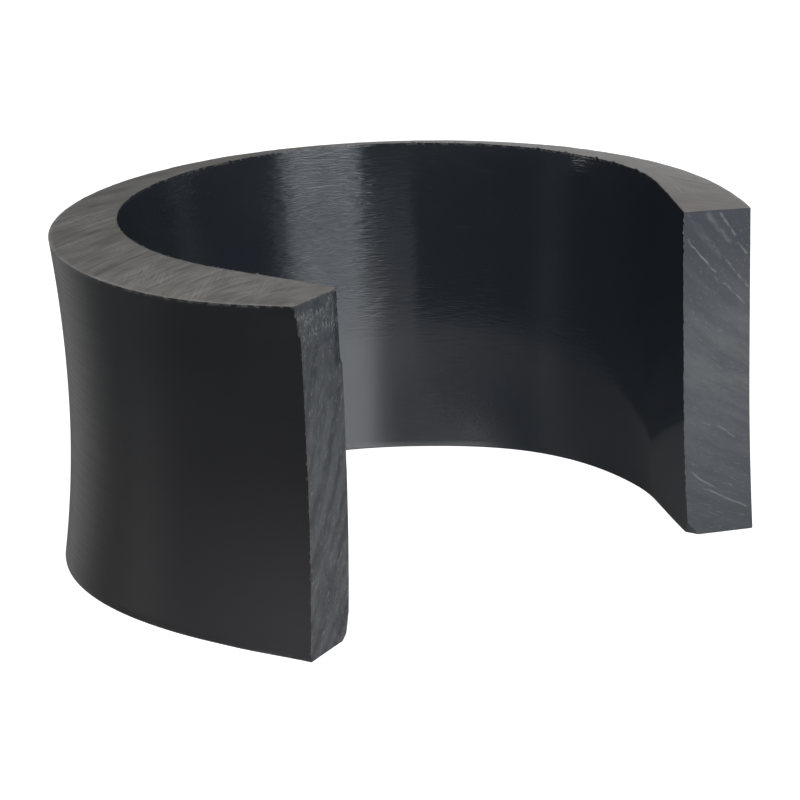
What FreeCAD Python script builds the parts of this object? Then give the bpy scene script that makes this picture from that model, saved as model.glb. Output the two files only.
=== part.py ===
import FreeCAD, Part
import math
import os

from FreeCAD import Vector

# Pipe adapter: a thick plastic strip bent on edge into an open C, which packs a pipe out to a larger clamp.
# Origin at the centre of the pipe seat, +Z along the pipe, the mouth of the C towards -Y.
# All lengths are in millimetres and all angles in degrees.

# Pipe that the ring sits on, and how loosely it sits at the waist
pipe_diameter = 110.0
pipe_clearance = 0.5

# Strip: its thickness is the wall of the ring, and its width is the ring's height
wall = 14.5
height = 70.6

# Bending the strip made both rims lean outwards past the waist
rim_flare = 2.2

# The sawn top face falls towards the outside of the ring
top_slope = 10.6

# The free ends were never held by the bend, so there the strip is almost flat again
end_flare = 0.5
end_slope = 2.3

# Plan of the C: the angle of its round part, and the straight length left at each end
round_angle = 223.2
tail_length = 22.9

# The cut at the -X end runs a little off square
left_cut_skew = 3.3

# Rounding of the two bottom edges, which are still as extruded
inner_edge_radius = 3.5
outer_edge_radius = 0.6

# Sections that each straight end is lofted through
tail_sections = 5

seat_radius = (pipe_diameter + pipe_clearance) / 2
middle_radius = seat_radius + wall / 2
bottom = -height / 2
top = height / 2
half_round_angle = round_angle / 2


def profile_point(offset, z):
    """A point of the strip's section, by its offset from the middle of the wall at the waist."""
    return Vector(middle_radius + offset, 0, z)


def side_arc(rim_low, waist, rim_high):
    """The centre and radius, in the section's plane, of the long arc down one side of the strip."""
    circle = Part.Arc(rim_low, waist, rim_high).toShape().Curve
    return circle.Center, circle.Radius


def edge_rounding(centre, side_radius, radius, inside):
    """Where a rounding leaves the side arc, its middle, and where it meets the bottom face.

    The strip lies inside the circle of its inner side, and outside the circle of its outer side.
    """
    reach = side_radius - radius if inside else side_radius + radius
    hub_z = bottom + radius
    hub_x = centre.x - math.sqrt(reach ** 2 - (hub_z - centre.z) ** 2)
    hub = Vector(hub_x, 0, hub_z)
    on_side = centre + (hub - centre) * (side_radius / reach)
    on_bottom = Vector(hub_x, 0, bottom)
    halfway = (on_side - hub).normalize() + (on_bottom - hub).normalize()
    on_rounding = hub + halfway.normalize() * radius
    return on_side, on_rounding, on_bottom


def strip_section(flare, slope):
    """The closed outline of the bent strip, in the XZ plane, for one flare and one slope of the top face."""
    half_wall = wall / 2
    across = half_wall * math.cos(math.radians(slope))
    rise = half_wall * math.sin(math.radians(slope))

    inner_top = profile_point(flare - across, top + rise)
    inner_waist = profile_point(-half_wall, 0)
    inner_bottom = profile_point(flare - half_wall, bottom)
    outer_top = profile_point(flare + across, top - rise)
    outer_waist = profile_point(half_wall, 0)
    outer_bottom = profile_point(flare + half_wall, bottom)

    centre, radius = side_arc(inner_bottom, inner_waist, inner_top)
    inner_start, inner_middle, inner_foot = edge_rounding(centre, radius, inner_edge_radius, True)
    centre, radius = side_arc(outer_bottom, outer_waist, outer_top)
    outer_start, outer_middle, outer_foot = edge_rounding(centre, radius, outer_edge_radius, False)

    outline = [
        Part.Arc(inner_top, inner_waist, inner_start).toShape(),
        Part.Arc(inner_start, inner_middle, inner_foot).toShape(),
        Part.LineSegment(inner_foot, outer_foot).toShape(),
        Part.Arc(outer_foot, outer_middle, outer_start).toShape(),
        Part.Arc(outer_start, outer_waist, outer_top).toShape(),
        Part.LineSegment(outer_top, inner_top).toShape(),
    ]
    return Part.Wire(outline)


def round_part():
    """The round part of the C, from the +X side over +Y to the -X side."""
    face = Part.Face(strip_section(rim_flare, top_slope))
    face.rotate(Vector(0, 0, 0), Vector(0, 0, 1), 90 - half_round_angle)
    return face.revolve(Vector(0, 0, 0), Vector(0, 0, 1), round_angle)


def tail(side, cut_skew):
    """One straight end: the bent section flattens out along it. side is 1 at +X and -1 at -X."""
    sections = []
    for step in range(tail_sections):
        share = step / (tail_sections - 1)
        flattening = (1 - math.cos(math.pi * share)) / 2
        flare = rim_flare + (end_flare - rim_flare) * flattening
        slope = top_slope + (end_slope - top_slope) * flattening
        section = strip_section(flare, slope)
        section.rotate(Vector(middle_radius, 0, 0), Vector(0, 0, 1), -side * cut_skew * share)
        section.translate(Vector(0, -side * tail_length * share, 0))
        section.rotate(Vector(0, 0, 0), Vector(0, 0, 1), 90 - side * half_round_angle)
        sections.append(section)
    return Part.makeLoft(sections, True, False)


def adapter_ring():
    """The whole C, as one solid."""
    ring = round_part().fuse([tail(1, 0), tail(-1, left_cut_skew)])
    return ring.removeSplitter().Solids[0]


os.makedirs("parts", exist_ok=True)
adapter_ring().exportStep("parts/adapter_ring.step")
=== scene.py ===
import math
import random

import bmesh
import bpy
import numpy as np
from mathutils import Euler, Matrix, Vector, noise


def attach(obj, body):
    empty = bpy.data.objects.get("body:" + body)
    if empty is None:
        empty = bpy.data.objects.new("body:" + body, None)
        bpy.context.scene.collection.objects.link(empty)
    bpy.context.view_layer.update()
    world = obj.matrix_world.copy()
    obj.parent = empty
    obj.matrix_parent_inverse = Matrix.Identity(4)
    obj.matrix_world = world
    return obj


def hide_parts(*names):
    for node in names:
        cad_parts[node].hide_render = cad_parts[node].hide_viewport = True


# A black plastic C-ring, bent from a thick strip, with a sawn top and sawn ends.
# All lengths are in metres. The origin is on the pipe's axis, halfway up the ring, and the mouth faces -Y.

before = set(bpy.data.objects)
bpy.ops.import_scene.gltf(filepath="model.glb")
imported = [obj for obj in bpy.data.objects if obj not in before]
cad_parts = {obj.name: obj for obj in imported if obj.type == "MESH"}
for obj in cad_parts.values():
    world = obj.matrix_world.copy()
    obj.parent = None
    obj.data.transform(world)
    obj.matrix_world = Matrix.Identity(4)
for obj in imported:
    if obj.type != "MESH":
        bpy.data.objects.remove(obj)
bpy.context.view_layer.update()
mm = 0.001

# Strip and plan of the C, as in the solid that this piece replaces
seat_radius = 55.25 * mm
wall = 14.5 * mm
height = 70.6 * mm
rim_flare = 2.2 * mm
top_slope = math.radians(10.6)
round_angle = math.radians(223.2)
tail_length = 22.9 * mm
left_cut_skew = math.radians(3.3)

# Rounding of the bottom edges, which are sharper than those of the solid
inner_edge_radius = 0.4 * mm
outer_edge_radius = 0.3 * mm

# The bend fades out over a length before each cut. There, shift moves the section outwards, flare and slope
# take the place of rim_flare and top_slope, and lift raises the top. hold is 1 where the top keeps the slope
# of the cut for a while, and lip is how far the top outer corner bulges, growing between two heights.
right_end = {
    "length": 34 * mm,
    "shift": 0.0,
    "flare": 0.05 * mm,
    "slope": math.radians(1.3),
    "lift": -0.14 * mm,
    "hold": 1.0,
    "lip": 0.0,
}
left_end = {
    "length": 35 * mm,
    "shift": -0.4 * mm,
    "flare": 0.6 * mm,
    "slope": math.radians(-2.0),
    "lift": 0.3 * mm,
    "hold": 0.0,
    "lip": 1.3 * mm,
}
lip_foot = 27 * mm
lip_crest = 35 * mm

# How far the bottom edge leans outwards at lengths along the strip from the right cut, both in millimetres
low_places = [0, 35, 70, 105, 150, 190, 222, 262, 273, 289.3]
low_flares = [0.85, 1.7, 2.75, 1.2, 2.2, 2.3, 3.1, 1.8, 2.0, 1.3]

# Chips off the lower inner corners of the cuts: the side, and how far each one reaches across the wall,
# up it and along the strip
chips = [
    (1, 2.3 * mm, 2.7 * mm, 2.6 * mm),
    (-1, 2.3 * mm, 1.6 * mm, 2.5 * mm),
    (-1, 1.1 * mm, 3.6 * mm, 2.5 * mm),
]

middle_radius = seat_radius + wall / 2
half_round = round_angle / 2
strip_length = middle_radius * round_angle + 2 * tail_length
bottom = -height / 2
top = height / 2

# A hollow that the saw missed, along the upper inner edge of the left cut: the height of its foot,
# the length over which it starts there, and its width and its depth, both at the top and at the foot
wane_foot = 20.6 * mm
wane_start = 0.35 * mm
wane_widths = (1.9 * mm, 2.1 * mm)
wane_depths = (0.5 * mm, 0.4 * mm)
# The shade in it grows from one offset to another, and from just below its foot to just above it
wane_shade_offsets = (-4.3 * mm, -5.8 * mm)
wane_shade_levels = (wane_foot - 0.4 * mm, wane_foot + 0.3 * mm)

# Mesh of the strip: steps along it, then round its section from the inner top corner
stations = 450
inner_steps = 54
base_steps = 4
outer_steps = 44
top_steps = 36
section_counts = (inner_steps, base_steps, outer_steps, top_steps)
rounding_steps = 3
sharp_angle = math.radians(35)

# Mesh of a cut end: steps down it and across it, and the share of each that stays free beside the outline
cut_down = 230
cut_across = 52
free_down = 0.002
free_across = 0.01

# Regions of the mesh, which are also its materials, are numbered bore, base, skin, top, right and left cut
base_region = 1
top_region = 3
right_region = 4
left_region = 5

# The maps are in decimetres, and this is how many there are in a metre
map_scale = 10

# Centres of the circular saw, seen from above the top face
main_saw = Vector((-60 * mm, -95 * mm))
second_saw = Vector((-130 * mm, 60 * mm))
# Its centres for the cut ends, as offset from the middle of the wall and height
right_saw = Vector((39 * mm, 55 * mm))
left_saw = Vector((100 * mm, 50 * mm))
# Radius at which the length of a saw mark is measured
mark_radius = 130 * mm

# Pale scratches on the right cut: offset and height of both ends and the width, in millimetres,
# and how strong they are
right_scratches = [
    (-6.4, 29.4, -0.5, 22.1, 0.30, 1.0),
    (-4.6, 32.1, 0.5, 25.6, 0.90, 0.35),
    (-1.9, 34.3, 2.8, 28.4, 0.80, 0.45),
    (0.7, 34.6, 3.9, 29.4, 0.30, 0.9),
    (4.6, 27.8, 6.5, 25.4, 0.35, 0.8),
    (2.0, 24.3, 6.8, 18.4, 0.35, 0.9),
    (1.5, 19.5, 6.0, 14.9, 0.30, 0.8),
    (0.1, -11.5, 3.9, -14.4, 0.30, 0.8),
    (-6.0, -21.2, -0.5, -25.2, 0.30, 0.9),
    (-3.0, -25.0, 6.5, -30.1, 0.25, 1.0),
]

# Burrs: step along them, how deep one hides where it has no tooth, and the power that makes a tooth blunt
burr_step = 0.18 * mm
hidden = 0.08 * mm
bluntness = 0.6
# The front foot and the back foot of a burr, each by how far it is from the edge along the sawn face
# and how far below that face
rim_feet = ((0.35 * mm, 0.15 * mm), (0.10 * mm, 0.5 * mm))
cut_feet = ((0.35 * mm, 0.12 * mm), (0.08 * mm, 0.5 * mm))
# How much of its own height a tooth leans over the bore, stands up from the rim, and stands out of a cut
rim_lean = 0.3
rim_rise = 0.95
cut_rise = 0.15

# The rim's burr: how far it stays off the cuts, and how strong it is at lengths along the strip
rim_margin = 0.3 * mm
rim_places = [0.0, 60 * mm, 75 * mm, strip_length - 105 * mm, strip_length - 90 * mm, strip_length]
rim_strengths = [1.0, 1.0, 0.4, 0.4, 0.9, 0.4]

# The right cut's burr: how far it is raised, and the height and the size of a small knob on it
right_burr_rise = 0.06 * mm
knob_level = 31 * mm
knob_size = 0.5 * mm

# The torn lip of the left cut, as heights on the cut and reach past its outer edge, in millimetres
lip_levels = [29.6, 30.0, 33.0, 33.6, 34.1, 34.6, 36.0]
lip_reach = [-0.08, 0.35, 0.0, 0.1, 0.9, 0.35, 0.3]

# Plain colours, and the dark shade on both cuts
white = (1, 1, 1, 1)
black = (0, 0, 0, 1)
cut_shade = (0.006, 0.008, 0.014, 1)

# The photograph's view: azimuth from the front, and a target a little left of the axis and below the middle
view_azimuth = math.radians(-35.54)
view_elevation = math.radians(17.61)
view_distance = 641.1 * mm
view_roll = math.radians(-1.8)
view_lens = 136.2
view_sensor = 36
view_shift = -0.2 * mm
view_drop = -5.9 * mm
view_target = Vector((view_shift * math.cos(view_azimuth), view_shift * math.sin(view_azimuth), view_drop))

# Softboxes: azimuth from +X and elevation in degrees, distance, width and height, power in watts,
# and how far the light's colour is turned from white to a cool blue
softboxes = {
    "front_softbox": (-97, 30, 1.0, 0.6, 0.5, 6.0, 0.4),
    "front_low_right_softbox": (-83.7, 12, 1.0, 0.32, 0.16, 0.50, 1.0),
    "front_low_left_softbox": (-102.0, 12, 1.0, 0.22, 0.16, 0.31, 1.0),
    "front_strip_light": (-93, 3.5, 1.0, 0.60, 0.06, 0.85, 1.0),
    "front_high_softbox": (-130, 50, 1.0, 0.8, 0.45, 5.0, 0.0),
    "left_softbox": (-152, 28, 1.0, 0.66, 0.5, 1.2, 0.4),
    "right_softbox": (-18, 25, 1.0, 0.6, 0.6, 0.9, 0.4),
    "back_low_softbox": (44, 8, 1.3, 0.5, 0.36, 0.85, 0.0),
    "back_left_softbox": (95, 14, 1.3, 0.7, 0.4, 0.7, 0.0),
    "side_softbox": (143.5, 2.8, 1.0, 0.18, 0.08, 0.45, 0.0),
    "overhead_softbox": (60, 75, 1.1, 1.0, 1.0, 2.0, 0.0),
}
cool_blue = Vector((0.84, 0.92, 1.0))
room_strength = 0.12

# The floor that the camera sees, and the table that reflections see: how far each reaches, and its look
floor_reach = 4.0
floor_gap = 0.1 * mm
floor_colour = (0.35, 0.35, 0.35, 1)
floor_glow = 1.0
table_reach = 2.0
table_colour = (0.3, 0.3, 0.3, 1)
table_roughness = 0.3
table_ior = 8.0

# The pool of light on the table inside the ring: its middle, how far it spreads, where it ends and its glow
pool_middle = Vector((-20 * mm, -20 * mm, 0.0))
pool_spread = (20 * mm, 70 * mm)
pool_limit = (46 * mm, 44 * mm)
pool_glow = 0.38


def strip_place(along):
    """Where the middle of the wall is at a length along the strip, from the +X cut to the -X cut.

    Returns the point in plan and the outward direction.
    """
    into_right_tail = tail_length - along
    into_left_tail = along - (strip_length - tail_length)
    into_tail = max(into_right_tail, into_left_tail, 0.0)
    side = 1 if into_right_tail > into_left_tail else -1
    round_length = min(max(along - tail_length, 0.0), middle_radius * round_angle)
    angle = math.pi / 2 - half_round + round_length / middle_radius
    outward = Vector((math.cos(angle), math.sin(angle), 0.0))
    towards_cut = Vector((outward.y, -outward.x, 0.0)) * side
    centre = outward * middle_radius + towards_cut * into_tail
    skew = left_cut_skew * into_tail / tail_length if side < 0 else 0.0
    outward.rotate(Euler((0, 0, skew)))
    return centre, outward


def circle_through(low, middle, high):
    """Centre and radius of the circle through three points of the section."""
    a = np.array([middle - low, high - low]) * 2
    b = np.array([middle @ middle - low @ low, high @ high - low @ low])
    centre = np.linalg.solve(a, b)
    return centre, np.linalg.norm(low - centre)


def arc_points(centre, radius, start, end, steps):
    """Points of the short arc from start to end."""
    first = math.atan2(start[1] - centre[1], start[0] - centre[0])
    last = math.atan2(end[1] - centre[1], end[0] - centre[0])
    turn = (last - first + math.pi) % (2 * math.pi) - math.pi
    angles = first + turn * np.linspace(0, 1, steps + 1)
    return np.stack([centre[0] + radius * np.cos(angles), centre[1] + radius * np.sin(angles)], axis=1)


def side_outline(rim_low, waist, rim_high, rounding, inside, steps):
    """One side of the section, from the top rim down to where its rounding meets the bottom face."""
    centre, radius = circle_through(rim_low, waist, rim_high)
    reach = radius - rounding if inside else radius + rounding
    hub_z = bottom + rounding
    hub = np.array([centre[0] - math.sqrt(reach ** 2 - (hub_z - centre[1]) ** 2), hub_z])
    on_side = centre + (hub - centre) * (radius / reach)
    on_bottom = np.array([hub[0], bottom])
    down = arc_points(centre, radius, rim_high, on_side, steps - rounding_steps)
    round_off = arc_points(hub, rounding, on_side, on_bottom, rounding_steps)
    return np.concatenate([down, round_off[1:]])


def low_flare(along):
    """How far the bottom edge leans outwards at a length along the strip, eased between the given places."""
    step = np.interp(along / mm, low_places, range(len(low_places)))
    before = min(int(step), len(low_places) - 2)
    ease = (1 - math.cos(math.pi * (step - before))) / 2
    return (low_flares[before] * (1 - ease) + low_flares[before + 1] * ease) * mm


def section_sides(along, inner_count, base_count, outer_count, top_count):
    """The section's four sides as (offset from the middle of the wall, height) points.

    The inner side runs down, the base outwards, the outer side up and the top inwards.
    """
    end = right_end if along < strip_length / 2 else left_end
    to_cut = min(along, strip_length - along)
    near = 1 - min(to_cut / end["length"], 1.0)
    fading = near ** 2
    levelling = fading * (1 + end["hold"] * 2 * (1 - near))
    shift = end["shift"] * fading
    flare = rim_flare + (end["flare"] - rim_flare) * fading + shift
    slope = top_slope + (end["slope"] - top_slope) * levelling
    crown_height = top + end["lift"] * levelling
    half_wall = wall / 2
    across = half_wall * math.cos(slope)
    rise = half_wall * math.sin(slope)
    inner = side_outline(
        np.array([flare - half_wall, bottom]),
        np.array([shift - half_wall, 0.0]),
        np.array([flare - across, crown_height + rise]),
        inner_edge_radius,
        True,
        inner_count,
    )
    outer = side_outline(
        np.array([flare + half_wall, bottom]),
        np.array([shift + half_wall, 0.0]),
        np.array([flare + across, crown_height - rise]),
        outer_edge_radius,
        False,
        outer_count,
    )[::-1]
    rising = np.clip((outer[:, 1] - lip_foot) / (lip_crest - lip_foot), 0, 1)
    outer[:, 0] += end["lip"] * fading * rising ** 2 * (3 - 2 * rising)
    for side in (inner, outer):
        side[:, 0] += (low_flare(along) - flare) * np.clip(side[:, 1] / bottom, 0, 1) ** 2
    base = inner[-1] + (outer[0] - inner[-1]) * np.linspace(0, 1, base_count + 1)[:, None]
    crown = outer[-1] + (inner[0] - outer[-1]) * np.linspace(0, 1, top_count + 1)[:, None]
    return inner, base, outer, crown


def noise_at(first, second, seed):
    """Smooth noise from -1 to 1, at pairs of coordinates."""
    pairs = zip(first.ravel(), second.ravel())
    values = [noise.noise(Vector((a, b, seed))) for a, b in pairs]
    return np.array(values).reshape(first.shape)


def streaks(x, y, saw, pitch, length, seed):
    """Noise drawn out along circles about a saw's centre."""
    radius = np.hypot(x - saw.x, y - saw.y)
    arc = np.arctan2(y - saw.y, x - saw.x) * mark_radius
    return noise_at(radius / pitch, arc / length, seed)


def bumps(x, y, size, seed):
    """Noise of one size."""
    return noise_at(x / size, y / size, seed)


def top_relief(x, y):
    """How far the sawn top face stands above its plane."""
    broad = bumps(x, y, 9 * mm, 3.1)
    main = streaks(x, y, main_saw, 1.3 * mm, 16 * mm, 7.3)
    crossing = streaks(x, y, second_saw, 1.6 * mm, 9 * mm, 11.9)
    return (0.05 * broad + 0.05 * main + 0.03 * crossing) * mm


def end_relief(offset, z, saw, seed):
    """How far a sawn end stands out from its plane."""
    broad = bumps(offset, z, 6 * mm, seed)
    wide = streaks(offset, z, saw, 2.4 * mm, 30 * mm, seed + 2.6)
    narrow = streaks(offset, z, saw, 0.9 * mm, 14 * mm, seed + 5.1)
    return (0.03 * broad + 0.06 * wide + 0.03 * narrow) * mm


def wane_depth(offset, z):
    """How far the hollow along the left cut's inner edge lies behind the cut."""
    inner = section_sides(strip_length, *section_counts)[0]
    edge = np.interp(z, inner[::-1, 1], inner[::-1, 0])
    down = (top - z) / (top - wane_foot)
    width = wane_widths[0] + (wane_widths[1] - wane_widths[0]) * down
    depth = wane_depths[0] + (wane_depths[1] - wane_depths[0]) * down
    inside = np.clip(1 - (offset - edge) / width, 0, 1)
    foot = np.clip((z - wane_foot) / wane_start, 0, 1)
    return depth * np.sqrt(inside) * foot


def zip_rows(first, second):
    """Triangles between two rows of vertices that run side by side from corner to corner."""
    triangles = []
    i = 0
    j = 0
    while i < len(first) - 1 or j < len(second) - 1:
        next_first = (i + 1) / (len(first) - 1)
        next_second = (j + 1) / (len(second) - 1)
        if next_first <= next_second:
            triangles.append((first[i], first[i + 1], second[j]))
            i += 1
        else:
            triangles.append((first[i], second[j + 1], second[j]))
            j += 1
    return triangles


def cut_grid(along):
    """The points of a cut face in the section's plane, blended from the face's outline."""
    inner, base, outer, crown = section_sides(along, cut_down, cut_across, cut_down, cut_across)
    outer = outer[::-1]
    crown = crown[::-1]
    u = np.linspace(0, 1, cut_across + 1)
    v = np.linspace(0, 1, cut_down + 1)
    u = (u * (1 - 2 * free_across) + free_across)[:, None, None]
    v = (v * (1 - 2 * free_down) + free_down)[None, :, None]
    sides = inner[None] * (1 - u) + outer[None] * u
    ends = crown[:, None] * (1 - v) + base[:, None] * v
    top_corners = inner[0] * (1 - u) + outer[0] * u
    low_corners = inner[-1] * (1 - u) + outer[-1] * u
    return sides + ends - top_corners * (1 - v) - low_corners * v


def place(centre, outward, offset, z):
    """Points of the section's plane at one place along the strip, in space."""
    return np.stack([centre.x + outward.x * offset, centre.y + outward.y * offset, z], axis=-1)


def out_of_cut(outward, side):
    """The direction in which a cut end faces. side is 1 at +X and -1 at -X."""
    return np.array([outward.y, -outward.x, 0.0]) * side


def strip_surface(alongs, limits):
    """The points round the strip at every station, and their places on it.

    A place holds the length along, the offset, the height, the share of the way in over the top,
    and how far the point is below the top rim on its side.
    """
    points = np.zeros((len(alongs), limits[-1], 3))
    places = np.zeros((len(alongs), limits[-1], 5))
    places[..., 0] = alongs[:, None]
    places[:, limits[2] :, 3] = np.arange(top_steps) / top_steps
    places[:, 0, 3] = 1
    on_inner = np.arange(limits[-1]) <= limits[0]
    for station, along in enumerate(alongs):
        centre, outward = strip_place(along)
        sides = section_sides(along, *section_counts)
        outline = np.concatenate([side[:-1] for side in sides])
        places[station, :, 1:3] = outline
        places[station, :, 4] = np.where(on_inner, sides[0][0, 1], sides[3][0, 1]) - outline[:, 1]
        points[station] = place(centre, outward, outline[:, 0], outline[:, 1])

    # Saw marks of the top face, with its two edges
    sawn = list(range(limits[2], limits[-1])) + [0]
    points[:, sawn, 2] += top_relief(points[:, sawn, 0], points[:, sawn, 1])

    # The hollow where it meets the rim of the left cut
    _, outward = strip_place(strip_length)
    hollow = wane_depth(places[-1, :, 1], places[-1, :, 2])
    points[-1] -= hollow[:, None] * out_of_cut(outward, -1)
    return points, places


def strip_faces(limits):
    """The faces between the stations, and the region of each."""
    faces = []
    regions = []
    for station in range(stations):
        here = station * limits[-1]
        ahead = here + limits[-1]
        for step in range(limits[-1]):
            following = (step + 1) % limits[-1]
            faces.append((here + step, ahead + step, ahead + following, here + following))
            regions.append(int(np.searchsorted(limits, step, side="right")))
    return faces, regions


def cut_surface(along, side, saw, seed):
    """The grid of points on a cut end, with the saw's marks and the left cut's hollow, and their places."""
    centre, outward = strip_place(along)
    grid = cut_grid(along)
    offset = grid[..., 0]
    z = grid[..., 1]
    stand = end_relief(offset, z, saw, seed)
    if side < 0:
        hollow = wane_depth(offset, z)
        stand = np.where(hollow > 0, -hollow, stand)
    points = place(centre, outward, offset, z) + stand[..., None] * out_of_cut(outward, side)
    places = np.zeros(offset.shape + (5,))
    places[..., 0] = along
    places[..., 1:3] = grid
    places[..., 4] = wall
    return points, places


def cut_faces(rim, index, limits):
    """The faces of a cut end: four bands between its rim and the grid, and the grid itself."""
    rim = np.append(rim, rim[0])
    bands = [
        (rim[: limits[0] + 1], index[0, :]),
        (rim[limits[0] : limits[1] + 1], index[:, -1]),
        (rim[limits[1] : limits[2] + 1], index[-1, ::-1]),
        (rim[limits[2] :], index[::-1, 0]),
    ]
    faces = []
    for outline_row, cut_row in bands:
        faces += zip_rows(outline_row, cut_row)
    for i in range(cut_across):
        for j in range(cut_down):
            faces.append((index[i, j], index[i, j + 1], index[i + 1, j + 1], index[i + 1, j]))
    return faces


def build_ring():
    """The whole strip as one closed mesh, and the line of its inner top corner."""
    limits = np.cumsum(section_counts)
    alongs = np.linspace(0, strip_length, stations + 1)
    points, places = strip_surface(alongs, limits)
    faces, regions = strip_faces(limits)
    vertex_sets = [points.reshape(-1, 3)]
    place_sets = [places.reshape(-1, 5)]
    count = len(vertex_sets[0])
    for station, side, region, saw in (
        (0, 1, right_region, right_saw),
        (stations, -1, left_region, left_saw),
    ):
        cut, cut_places = cut_surface(alongs[station], side, saw, 2.7 + station)
        vertex_sets.append(cut.reshape(-1, 3))
        place_sets.append(cut_places.reshape(-1, 5))
        index = count + np.arange(len(vertex_sets[-1])).reshape(cut.shape[:2])
        count += index.size
        new_faces = cut_faces(station * limits[-1] + np.arange(limits[-1]), index, limits)
        faces += new_faces if side > 0 else [face[::-1] for face in new_faces]
        regions += [region] * len(new_faces)

    mesh = bpy.data.meshes.new("ring_surface")
    vertices = np.concatenate(vertex_sets)
    mesh.from_pydata(vertices.tolist(), [], [[int(i) for i in face] for face in faces])
    mesh.polygons.foreach_set("material_index", regions)
    mesh.polygons.foreach_set("use_smooth", [True] * len(faces))
    mesh.update()
    add_maps(mesh, np.concatenate(place_sets), np.array(regions))
    for chip in chips:
        chip_corner(mesh, *chip)
    mesh.set_sharp_from_angle(angle=sharp_angle)
    return add_piece("ring_surface", mesh), alongs, points[:, 0]


def chip_corner(mesh, side, across, up, back):
    """Cuts a flat chip off the lower inner corner of a cut, through a point on each of its three edges."""
    along = 0.0 if side > 0 else strip_length
    centre, outward = strip_place(along)
    facing = Vector(out_of_cut(outward, side))
    corner = centre + outward * (low_flare(along) - wall / 2) + Vector((0, 0, bottom))
    out_of_chip = -(outward / across + Vector((0, 0, 1)) / up - facing / back)
    ring = bmesh.new()
    ring.from_mesh(mesh)
    reach = 2 * max(across, up, back)
    faces = [face for face in ring.faces if (face.calc_center_median() - corner).length < reach]
    around = {piece for face in faces for piece in list(face.verts) + list(face.edges) + [face]}
    bmesh.ops.bisect_plane(
        ring,
        geom=list(around),
        plane_co=corner + outward * across,
        plane_no=out_of_chip,
        clear_outer=True,
    )
    rim = [edge for edge in ring.edges if edge.is_boundary]
    scar = bmesh.ops.holes_fill(ring, edges=rim, sides=0)["faces"][0]
    scar.normal_update()
    if scar.normal.dot(out_of_chip) < 0:
        scar.normal_flip()
    for layer in ring.loops.layers.uv.values():
        for loop in scar.loops:
            beside = next(other for other in loop.vert.link_loops if other.face is not scar)
            loop[layer].uv = beside[layer].uv
    ring.to_mesh(mesh)
    ring.free()


def add_maps(mesh, places, regions):
    """The two maps that the materials read.

    flat holds the length along and the height on the sides, the length along and the offset on the base,
    and the offset and the height on the cuts. On the top it holds the length along and the share of the way
    from the outer rim to the inner one. rims holds how far a point is below the top rim on its side,
    and how far above the bottom.
    """
    corner_vertex = np.zeros(len(mesh.loops), dtype=int)
    mesh.loops.foreach_get("vertex_index", corner_vertex)
    corners = np.zeros(len(mesh.polygons), dtype=int)
    mesh.polygons.foreach_get("loop_total", corners)
    region = np.repeat(regions, corners)
    along, offset, z, share, below = places[corner_vertex].T
    first = np.where(region >= right_region, offset, along) * map_scale
    second = np.where(region == base_region, offset, z) * map_scale
    second = np.where(region == top_region, share, second)
    maps = {"flat": (first, second), "rims": (below * map_scale, (z - bottom) * map_scale)}
    for name, pair in maps.items():
        layer = mesh.uv_layers.new(name=name)
        layer.data.foreach_set("uv", np.stack(pair, axis=1).ravel())


def add_object(name, data):
    made = bpy.data.objects.new(name, data)
    bpy.context.scene.collection.objects.link(made)
    return made


def add_piece(name, mesh):
    """A piece of the ring itself."""
    made = add_object(name, mesh)
    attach(made, "root")
    return made


def teeth(positions, gap, width, tall, seed):
    """Heights of random teeth along an edge. Between them the burr stays just under the surface."""
    draw = random.Random(seed)
    heights = np.full(len(positions), -hidden)
    at = positions[0]
    while at < positions[-1]:
        near = 1 - np.abs(positions - at) / draw.uniform(*width) * 2
        peak = draw.uniform(*tall)
        tooth = np.where(near > 0, peak * np.clip(near, 0, 1) ** bluntness, -hidden)
        heights = np.maximum(heights, tooth)
        at += draw.uniform(*gap)
    return heights


def add_burr(name, rows, front, back):
    """A thin closed ribbon of triangular section: its rows hold a front foot, a tip and a back foot."""
    ribbon = bmesh.new()
    made = [[ribbon.verts.new(point) for point in row] for row in rows]
    for here, ahead in zip(made[:-1], made[1:]):
        for side in range(3):
            following = (side + 1) % 3
            face = ribbon.faces.new((here[side], ahead[side], ahead[following], here[following]))
            face.material_index = 0 if side == 0 else 1
    ribbon.faces.new(made[0])
    ribbon.faces.new(made[-1])
    bmesh.ops.recalc_face_normals(ribbon, faces=ribbon.faces)
    mesh = bpy.data.meshes.new(name)
    ribbon.to_mesh(mesh)
    ribbon.free()
    mesh.materials.append(front)
    mesh.materials.append(back)
    add_piece(name, mesh)


def add_rim_burr(alongs, corner_line, front, back):
    """The ragged edge that the saw left along the inner rim of the top face."""
    positions = np.arange(rim_margin, strip_length - rim_margin, burr_step)
    corners = np.stack([np.interp(positions, alongs, corner_line[:, axis]) for axis in range(3)], axis=1)
    small = teeth(positions, (0.5 * mm, 2.0 * mm), (0.3 * mm, 1.0 * mm), (0.08 * mm, 0.3 * mm), 3)
    large = teeth(positions, (4 * mm, 11 * mm), (0.5 * mm, 1.4 * mm), (0.3 * mm, 0.6 * mm), 4)
    heights = np.maximum(small, large)
    heights = np.where(heights > 0, heights * np.interp(positions, rim_places, rim_strengths), heights)
    (front_in, front_down), (back_in, back_down) = rim_feet
    up = np.array([0, 0, 1])
    rows = []
    for position, corner, tall in zip(positions, corners, heights):
        outward = np.array(strip_place(position)[1])
        rows.append((
            corner + outward * front_in - up * front_down,
            corner - outward * rim_lean * tall + up * rim_rise * tall,
            corner + outward * back_in - up * back_down,
        ))
    add_burr("rim_burr", rows, front, back)


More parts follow.
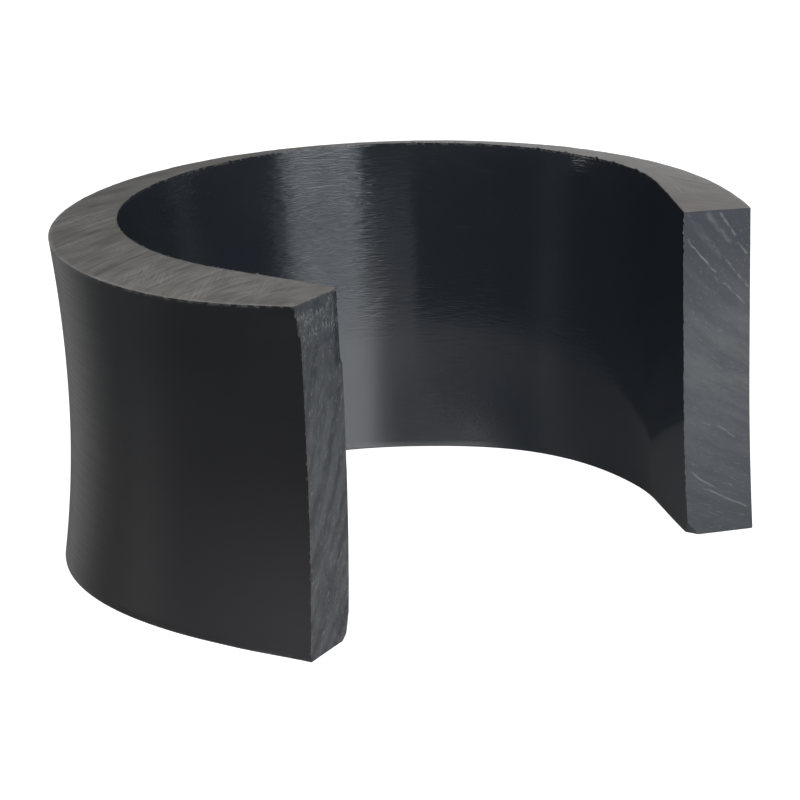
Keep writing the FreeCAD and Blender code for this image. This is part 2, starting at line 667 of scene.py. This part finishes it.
def add_cut_burr(name, side, edge, lean, heights, front, back):
    """A burr along one edge of a cut.

    edge holds (offset, height) points, and lean is the direction out of the section.
    """
    centre, outward = strip_place(0.0 if side > 0 else strip_length)
    facing = out_of_cut(outward, side)
    (front_in, front_down), (back_in, back_down) = cut_feet
    front_foot = edge - lean * front_in
    tip = edge + lean * heights[:, None]
    back_foot = edge - lean * back_in
    rows = zip(
        place(centre, outward, *front_foot.T) - facing * front_down,
        place(centre, outward, *tip.T) + facing * np.maximum(heights, 0)[:, None] * cut_rise,
        place(centre, outward, *back_foot.T) - facing * back_down,
    )
    add_burr(name, list(rows), front, back)


def add_cut_burrs(torn, bore, skin):
    """The burrs round the two cuts, with the torn lip at the top outer corner of the left one."""
    # Steps along a whole side, steps on the sides that have no burr, and where the left burr starts
    count = round((height - 2 * mm) / burr_step)
    coarse = 4
    left_foot = 10

    # Down seven eighths of the right cut's inner edge
    inner = section_sides(0.0, count, coarse, coarse, coarse)[0]
    edge = inner[2 : -math.ceil(count / 8)]
    rising = edge[::-1, 1]
    ragged = teeth(rising, (0.4 * mm, 2 * mm), (0.4 * mm, 2 * mm), (0.05 * mm, 0.15 * mm), 5)[::-1]
    knob = knob_size * np.clip(1 - np.abs(edge[:, 1] - knob_level) / knob_size, 0, 1)
    heights = np.maximum(right_burr_rise + ragged, knob)
    add_cut_burr("right_inner_burr", 1, edge, np.array([-1.0, 0.0]), heights, torn, bore)

    # Up the left cut's outer edge, from a few steps above its foot, and in over its top
    _, _, outer, crown = section_sides(strip_length, coarse, coarse, count, round(wall / burr_step))
    edge = outer[left_foot:]
    heights = teeth(edge[:, 1], (0.6 * mm, 4 * mm), (0.3 * mm, 0.9 * mm), (0.05 * mm, 0.2 * mm), 6)
    lip = np.interp(edge[:, 1] / mm, lip_levels, lip_reach) * mm
    add_cut_burr("left_outer_burr", -1, edge, np.array([1.0, 0.0]), np.maximum(heights, lip), torn, skin)
    heights = teeth(-crown[:, 0], (0.5 * mm, 2 * mm), (0.3 * mm, 0.9 * mm), (0.08 * mm, 0.25 * mm), 7)
    add_cut_burr("left_top_burr", -1, crown, np.array([0.0, 1.0]), heights, torn, torn)


class Shader:
    """A Principled material whose nodes are added by short calls. Its maps are in decimetres."""

    def __init__(self, name):
        self.material = bpy.data.materials.new(name)
        self.material.use_nodes = True
        self.tree = self.material.node_tree
        self.out = self.tree.nodes["Principled BSDF"]

    def give(self, socket, value):
        """Gives a socket a plain value, or links it to the output of another node."""
        if isinstance(value, bpy.types.NodeSocket):
            self.tree.links.new(value, socket)
        else:
            socket.default_value = value

    def add(self, kind, inputs, **settings):
        made = self.tree.nodes.new("ShaderNode" + kind)
        for name, value in settings.items():
            setattr(made, name, value)
        for key, value in inputs.items():
            self.give(made.inputs[key], value)
        return made

    def set(self, name, value):
        self.give(self.out.inputs[name], value)

    def math(self, operation, first, second=0.0):
        return self.add("Math", {0: first, 1: second}, operation=operation).outputs[0]

    def times(self, first, second):
        return self.math("MULTIPLY", first, second)

    def total(self, first, *others):
        for other in others:
            first = self.math("ADD", first, other)
        return first

    def vector_math(self, operation, first, second):
        return self.add("VectorMath", {0: first, 1: second}, operation=operation).outputs[0]

    def measure(self, operation, first, second):
        return self.add("VectorMath", {0: first, 1: second}, operation=operation).outputs["Value"]

    def parts(self, vector):
        """A vector's X and Y."""
        made = self.add("SeparateXYZ", {0: vector})
        return made.outputs[0], made.outputs[1]

    def flat(self):
        return self.add("UVMap", {}, uv_map="flat").outputs["UV"]

    def rims(self):
        """How far a point is below the top rim and above the bottom."""
        return self.parts(self.add("UVMap", {}, uv_map="rims").outputs["UV"])

    def solid(self):
        return self.add("TexCoord", {}).outputs["Object"]

    def stretch(self, vector, x, y):
        return self.add("Mapping", {"Vector": vector, "Scale": (x, y, 1.0)}).outputs["Vector"]

    def noise(self, vector, scale, detail, rough=0.5, distortion=0.0, output="Fac"):
        inputs = {
            "Vector": vector,
            "Scale": scale,
            "Detail": detail,
            "Roughness": rough,
            "Distortion": distortion,
        }
        return self.add("TexNoise", inputs).outputs[output]

    def span(self, value, low, high, to_low=0.0, to_high=1.0):
        inputs = {"Value": value, "From Min": low, "From Max": high, "To Min": to_low, "To Max": to_high}
        return self.add("MapRange", inputs).outputs["Result"]

    def blend(self, share, first, second):
        return self.add("Mix", {0: share, 6: first, 7: second}, data_type="RGBA").outputs[2]

    def saw_noise(self, vector, saw, pitch, length, *settings):
        """Noise drawn out along circles about a saw's centre, in the vector's own XY plane, in metres."""
        x, y = self.parts(self.vector_math("SUBTRACT", vector, (saw.x, saw.y, 0)))
        radius = self.math("SQRT", self.total(self.times(x, x), self.times(y, y)))
        arc = self.times(self.math("ARCTAN2", y, x), mark_radius / length)
        turned = self.add("CombineXYZ", {0: self.math("DIVIDE", radius, pitch), 1: arc})
        return self.noise(turned.outputs[0], 1.0, *settings)

    def scratch(self, vector, start, end, width):
        """1 on a straight scratch between two points of the vector's XY plane, fading to 0 at its width."""
        run = end - start
        from_start = self.vector_math("SUBTRACT", vector, start)
        reached = self.measure("DOT_PRODUCT", from_start, run)
        share = self.span(reached, 0.0, run.length_squared)
        nearest = self.add("VectorMath", {0: run, "Scale": share}, operation="SCALE").outputs[0]
        away = self.measure("DISTANCE", from_start, nearest)
        return self.span(away, 0.0, width, 1.0, 0.0)

    def bump(self, level, distance, strength=1.0, under=None):
        inputs = {"Height": level, "Distance": distance, "Strength": strength}
        if under is not None:
            inputs["Normal"] = under
        return self.add("Bump", inputs).outputs["Normal"]


def extruded_skin():
    """The smooth satin outside and bottom of the strip, paler low down by painted light, with scuffed edges
    and a paler band along the bottom near the left end.
    """
    painted_light_low_colour = (0.0095, 0.0087, 0.010, 1)
    high_colour = (0.0020, 0.0024, 0.0034, 1)
    pale_low_colour = (0.035, 0.034, 0.037, 1)
    cloud_colour = (0.012, 0.012, 0.012, 1)
    scuff_colour = (0.05, 0.05, 0.05, 1)
    shader = Shader("extruded_skin")
    flat = shader.flat()
    lines = shader.noise(shader.stretch(flat, 4, 160), 1.0, 3.0)
    grain = shader.noise(shader.solid(), 700.0, 2.0)
    cloud = shader.noise(shader.solid(), 60.0, 3.0)
    below, above = shader.rims()
    edge = shader.span(shader.math("MINIMUM", below, above), 0.007, 0.001)
    worn = shader.times(edge, shader.span(grain, 0.45, 0.62))
    # Painted light: the plastic turns paler towards the bottom, where the lower wall faces up towards the
    # lamps
    plastic = shader.blend(shader.span(above, 0.05, 0.6), painted_light_low_colour, high_colour)
    along, _ = shader.parts(flat)
    # Paler along the bottom near the left end
    pale_low_band = shader.times(shader.span(above, 0.36, 0.05), shader.span(along, 2.45, 2.85, 0.0, 0.45))
    plastic = shader.blend(pale_low_band, plastic, pale_low_colour)
    plastic = shader.blend(shader.span(cloud, 0.3, 0.7, 0.0, 0.15), plastic, cloud_colour)
    shader.set("Base Color", shader.blend(worn, plastic, scuff_colour))
    smooth = shader.span(lines, 0.3, 0.7, 0.30, 0.37)
    shader.set("Roughness", shader.total(smooth, shader.times(worn, 0.15)))
    shader.set("Specular IOR Level", 0.38)
    under = shader.bump(lines, 0.008 * mm, 0.6)
    shader.set("Normal", shader.bump(grain, 0.008 * mm, 0.5, under))
    return shader.material


def extruded_bore():
    """The glossy inside of the strip, wrinkled by the bend over its upper half."""
    first_colour = (0.009, 0.0115, 0.0155, 1)
    second_colour = (0.012, 0.0138, 0.0165, 1)
    scuff_colour = (0.08, 0.075, 0.07, 1)
    shader = Shader("extruded_bore")
    flat = shader.flat()
    along, level = shader.parts(flat)

    # Wrinkles in patches, strongest over one stretch of the bore, and faint lines all over
    fine = shader.noise(shader.stretch(flat, 34, 290), 1.0, 1.5, 0.55, 0.2)
    coarse = shader.noise(shader.stretch(flat, 20, 110), 1.0, 1.0, 0.5, 0.3)
    patches = shader.noise(shader.stretch(flat, 5, 9), 1.0, 2.0)
    upper = shader.span(level, -0.12, -0.02)
    crowded = shader.times(shader.span(along, 1.02, 1.15), shader.span(along, 1.95, 1.45))
    grown = shader.times(upper, shader.span(patches, 0.35, 0.62, 0.6, 1.2))
    grown = shader.times(grown, shader.span(crowded, 0.0, 1.0, 0.4, 1.0))
    wrinkles = shader.total(shader.times(fine, 0.7), shader.times(coarse, 0.6))
    faint = shader.noise(shader.stretch(flat, 14, 300), 1.0, 1.0)
    marks = shader.times(shader.span(faint, 0.62, 0.75), 0.09)
    relief = shader.total(shader.times(wrinkles, grown), marks)

    cloud = shader.noise(shader.solid(), 55.0, 2.0)
    grain = shader.noise(shader.solid(), 900.0, 1.0)
    below, _ = shader.rims()
    edge = shader.span(below, 0.006, 0.001)
    worn = shader.times(edge, shader.span(grain, 0.48, 0.62, 0.0, 0.7))
    plastic = shader.blend(cloud, first_colour, second_colour)
    shader.set("Base Color", shader.blend(worn, plastic, scuff_colour))
    shader.set("Roughness", shader.span(patches, 0.3, 0.7, 0.10, 0.14))
    shader.set("Normal", shader.bump(relief, 0.10 * mm))
    return shader.material


def sawn_top():
    """The matt grey sawn top face, paler along its outer rim with wear and a painted edge highlight, and
    smoother near the right cut.
    """
    smooth_colour = (0.118, 0.102, 0.096, 1)
    first_colour = (0.103, 0.099, 0.087, 1)
    second_colour = (0.107, 0.096, 0.090, 1)
    nick_colour = (0.30, 0.29, 0.27, 1)
    worn_rim_and_highlight_colour = (0.26, 0.25, 0.24, 1)
    shader = Shader("sawn_top")
    solid = shader.solid()
    along, share = shader.parts(shader.flat())
    from_right = shader.span(along, 0.06, 0.16)
    fine = shader.saw_noise(solid, main_saw, 0.5 * mm, 9 * mm, 3.0, 0.6)
    broad = shader.saw_noise(solid, main_saw, 1.8 * mm, 16 * mm, 2.0, 0.5)
    crossing = shader.saw_noise(solid, second_saw, 0.6 * mm, 6 * mm, 2.0, 0.6)
    cloud = shader.noise(solid, 125.0, 2.0)
    tint = shader.noise(solid, 190.0, 1.0)
    crossed = shader.times(shader.span(crossing, 0.35, 0.7, -1.0, 1.0), shader.span(cloud, 0.5, 0.6))
    tone = shader.total(
        shader.span(fine, 0.3, 0.7, -0.45, 0.45),
        shader.span(broad, 0.3, 0.7, -0.5, 0.5),
        shader.span(cloud, 0.3, 0.7, -0.45, 0.45),
        shader.times(crossed, 0.4),
    )
    tone = shader.times(tone, from_right)
    warm = shader.blend(shader.span(tint, 0.38, 0.62), first_colour, second_colour)
    warm = shader.blend(from_right, smooth_colour, warm)
    dark = shader.blend(0.38, warm, black)
    pale = shader.blend(0.07, warm, white)
    colour = shader.blend(shader.span(tone, -1.0, 1.0), dark, pale)
    nick = shader.times(shader.span(fine, 0.68, 0.74), from_right)
    colour = shader.blend(shader.times(nick, 0.5), colour, nick_colour)
    # The pale outer rim is wear together with a painted edge highlight
    lip = shader.times(shader.span(share, 0.07, 0.0), shader.span(tint, 0.35, 0.6, 0.3, 1.0))
    shader.set("Base Color", shader.blend(shader.times(lip, 0.6), colour, worn_rim_and_highlight_colour))
    shader.set("Roughness", shader.span(broad, 0.3, 0.7, 0.46, 0.56))
    rough = shader.total(fine, shader.times(broad, 1.2), shader.times(crossed, 0.25))
    shader.set("Normal", shader.bump(shader.times(rough, from_right), 0.12 * mm))
    return shader.material


def sawn_end(name, saw, dark, pale, mark, relief, flecks, belt_flecks, shades, wane_shade, scratches):
    """A matt grey sawn end: soft stripes and short marks about the saw's centre, and pale scratches.

    mark holds the pitch and the length of a mark. shades holds the darker stretches of the end, each as the
    height where it starts, the height where it is full and how dark it is there. wane_shade is how dark
    the hollow along the upper inner edge is.
    """
    worn_colour = (0.105, 0.11, 0.112, 1)
    shader = Shader(name)
    metres = shader.stretch(shader.flat(), 1 / map_scale, 1 / map_scale)
    offset, level = shader.parts(metres)
    pitch, length = mark
    wide = shader.saw_noise(metres, saw, 2.6 * mm, 34 * mm, 1.0)
    marks = shader.saw_noise(metres, saw, pitch, length, 3.0, 0.6, 0.5)
    fine = shader.saw_noise(metres, saw, pitch * 0.42, length * 0.6, 2.0, 0.6, 1.5)
    cloud = shader.noise(shader.solid(), 170.0, 3.0)
    tone = shader.total(
        shader.span(wide, 0.35, 0.65, -0.6, 0.6),
        shader.span(marks, 0.35, 0.65, -0.4, 0.4),
        shader.span(cloud, 0.35, 0.65, -0.3, 0.3),
    )
    base = shader.blend(shader.span(tone, -0.8, 0.8), dark, pale)
    for start, full, amount in shades:
        base = shader.blend(shader.span(level, start, full, 0.0, amount), base, cut_shade)
    if wane_shade:
        inwards = shader.span(offset, *wane_shade_offsets)
        upwards = shader.span(level, *wane_shade_levels, 0.0, wane_shade)
        base = shader.blend(shader.times(inwards, upwards), base, cut_shade)

    # Scratches wander by up to half a millimetre, and the torn flecks gather in a belt below the top
    wander = shader.noise(metres, 400.0, 2.0, output="Color")
    wander = shader.vector_math("SUBTRACT", wander, (0.5, 0.5, 0.5))
    wander = shader.vector_math("MULTIPLY", wander, (mm, mm, 0))
    near = shader.vector_math("ADD", metres, wander)
    belt = shader.times(shader.span(level, 27 * mm, 30 * mm), shader.span(level, 35 * mm, 33 * mm))
    fine = shader.total(fine, shader.times(belt, belt_flecks))
    cut = shader.times(shader.span(fine, 0.60, 0.67), flecks)
    for from_offset, from_z, to_offset, to_z, width, strength in scratches:
        start = Vector((from_offset, from_z, 0)) * mm
        end = Vector((to_offset, to_z, 0)) * mm
        scratch = shader.times(shader.scratch(near, start, end, width * mm), strength)
        cut = shader.math("MAXIMUM", cut, scratch)
    worn = shader.times(cut, shader.span(marks, 0.40, 0.58, 0.2, 1.0))
    shader.set("Base Color", shader.blend(worn, base, worn_colour))
    shader.set("Roughness", shader.span(marks, 0.3, 0.7, 0.46, 0.56))
    under = shader.bump(wide, relief)
    shader.set("Normal", shader.bump(shader.total(marks, fine), 0.05 * mm, 1.0, under))
    return shader.material


def torn_edge():
    """The torn plastic of the burrs."""
    dark_colour = (0.035, 0.036, 0.038, 1)
    pale_colour = (0.085, 0.084, 0.082, 1)
    shader = Shader("torn_edge")
    shreds = shader.noise(shader.solid(), 900.0, 2.0)
    shader.set("Base Color", shader.blend(shreds, dark_colour, pale_colour))
    shader.set("Roughness", shader.span(shreds, 0.3, 0.7, 0.45, 0.6))
    shader.set("Normal", shader.bump(shreds, 0.1 * mm))
    return shader.material


def direction(azimuth, elevation):
    """The direction at an azimuth from +X and an elevation."""
    level = math.cos(elevation)
    return Vector((math.cos(azimuth) * level, math.sin(azimuth) * level, math.sin(elevation)))


def aim(made, target, away, distance, roll=0.0):
    """Puts a camera or a light at a distance from its target, and turns it to face the target."""
    made.location = target + away * distance
    made.rotation_mode = "QUATERNION"
    made.rotation_quaternion = (-away).to_track_quat("-Z", "Y") @ Euler((0, 0, roll)).to_quaternion()


def add_camera():
    data = bpy.data.cameras.new("view")
    data.lens = view_lens
    data.sensor_width = view_sensor
    camera = add_object("view", data)
    away = direction(view_azimuth - math.pi / 2, view_elevation)
    aim(camera, view_target, away, view_distance, view_roll)
    bpy.context.scene.camera = camera


def plane(name, reach, z):
    mesh = bpy.data.meshes.new(name)
    corners = [(-reach, -reach, 0), (reach, -reach, 0), (reach, reach, 0), (-reach, reach, 0)]
    mesh.from_pydata(corners, [], [(0, 1, 2, 3)])
    made = add_object(name, mesh)
    made.location.z = z
    return made


def add_floor():
    """The plain white floor that the camera sees."""
    floor = plane("floor", floor_reach, bottom - floor_gap)
    shader = Shader("floor")
    shader.set("Base Color", floor_colour)
    shader.set("Roughness", 1.0)
    shader.set("Specular IOR Level", 0.0)
    shader.set("Emission Color", white)
    shader.set("Emission Strength", floor_glow)
    floor.data.materials.append(shader.material)
    floor.visible_glossy = False


def add_table():
    """The table top that only reflections in the plastic see, with a pool of light inside the ring."""
    table = plane("table", table_reach, bottom)
    shader = Shader("table")
    shader.set("Base Color", table_colour)
    shader.set("Roughness", table_roughness)
    shader.set("IOR", table_ior)
    shader.set("Emission Color", white)
    from_axis = shader.measure("DISTANCE", shader.solid(), (0, 0, 0))
    from_pool = shader.measure("DISTANCE", shader.solid(), pool_middle)
    glow = shader.span(from_pool, *pool_spread, pool_glow, 0.0)
    shader.set("Emission Strength", shader.times(glow, shader.span(from_axis, *pool_limit)))
    table.data.materials.append(shader.material)
    table.visible_camera = False
    table.visible_diffuse = False
    table.visible_shadow = False


def add_softbox(name, azimuth, elevation, distance, width, tall, power, coolness):
    data = bpy.data.lights.new(name, "AREA")
    data.shape = "RECTANGLE"
    data.size = width
    data.size_y = tall
    data.energy = power
    data.color = Vector((1, 1, 1)).lerp(cool_blue, coolness)
    light = add_object(name, data)
    away = direction(math.radians(azimuth), math.radians(elevation))
    aim(light, Vector((0, 0, 0)), away, distance)
    light.visible_camera = False


def add_world():
    """A dim room, which the camera sees as plain white."""
    scene = bpy.context.scene
    scene.world = bpy.data.worlds.new("studio")
    scene.world.use_nodes = True
    tree = scene.world.node_tree
    background = tree.nodes["Background"]
    background.inputs["Color"].default_value = white
    path = tree.nodes.new("ShaderNodeLightPath")
    strength = tree.nodes.new("ShaderNodeMapRange")
    strength.inputs["To Min"].default_value = room_strength
    strength.inputs["To Max"].default_value = 1.0
    tree.links.new(path.outputs["Is Camera Ray"], strength.inputs["Value"])
    tree.links.new(strength.outputs["Result"], background.inputs["Strength"])
    scene.view_settings.view_transform = "Standard"


ring, alongs, corner_line = build_ring()
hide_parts("adapter_ring")
bore = extruded_bore()
skin = extruded_skin()
torn = torn_edge()
top_face = sawn_top()
right_cut = sawn_end(
    "right_end",
    saw=right_saw,
    dark=(0.025, 0.029, 0.033, 1),
    pale=(0.048, 0.051, 0.0535, 1),
    mark=(0.9 * mm, 6 * mm),
    relief=0.1 * mm,
    flecks=0.45,
    belt_flecks=0.0,
    shades=[(8 * mm, 28 * mm, 0.85), (-3 * mm, -28 * mm, 0.6)],
    wane_shade=0.0,
    scratches=right_scratches,
)
left_cut = sawn_end(
    "left_end",
    saw=left_saw,
    dark=(0.018, 0.020, 0.023, 1),
    pale=(0.048, 0.051, 0.054, 1),
    mark=(1.1 * mm, 3.0 * mm),
    relief=0.05 * mm,
    flecks=1.0,
    belt_flecks=0.1,
    shades=[(5 * mm, 35 * mm, 0.45)],
    wane_shade=0.75,
    scratches=[],
)
for material in (bore, skin, skin, top_face, right_cut, left_cut):
    ring.data.materials.append(material)
add_rim_burr(alongs, corner_line, torn, bore)
add_cut_burrs(torn, bore, skin)

add_camera()
add_floor()
add_table()
for name, settings in softboxes.items():
    add_softbox(name, *settings)
add_world()
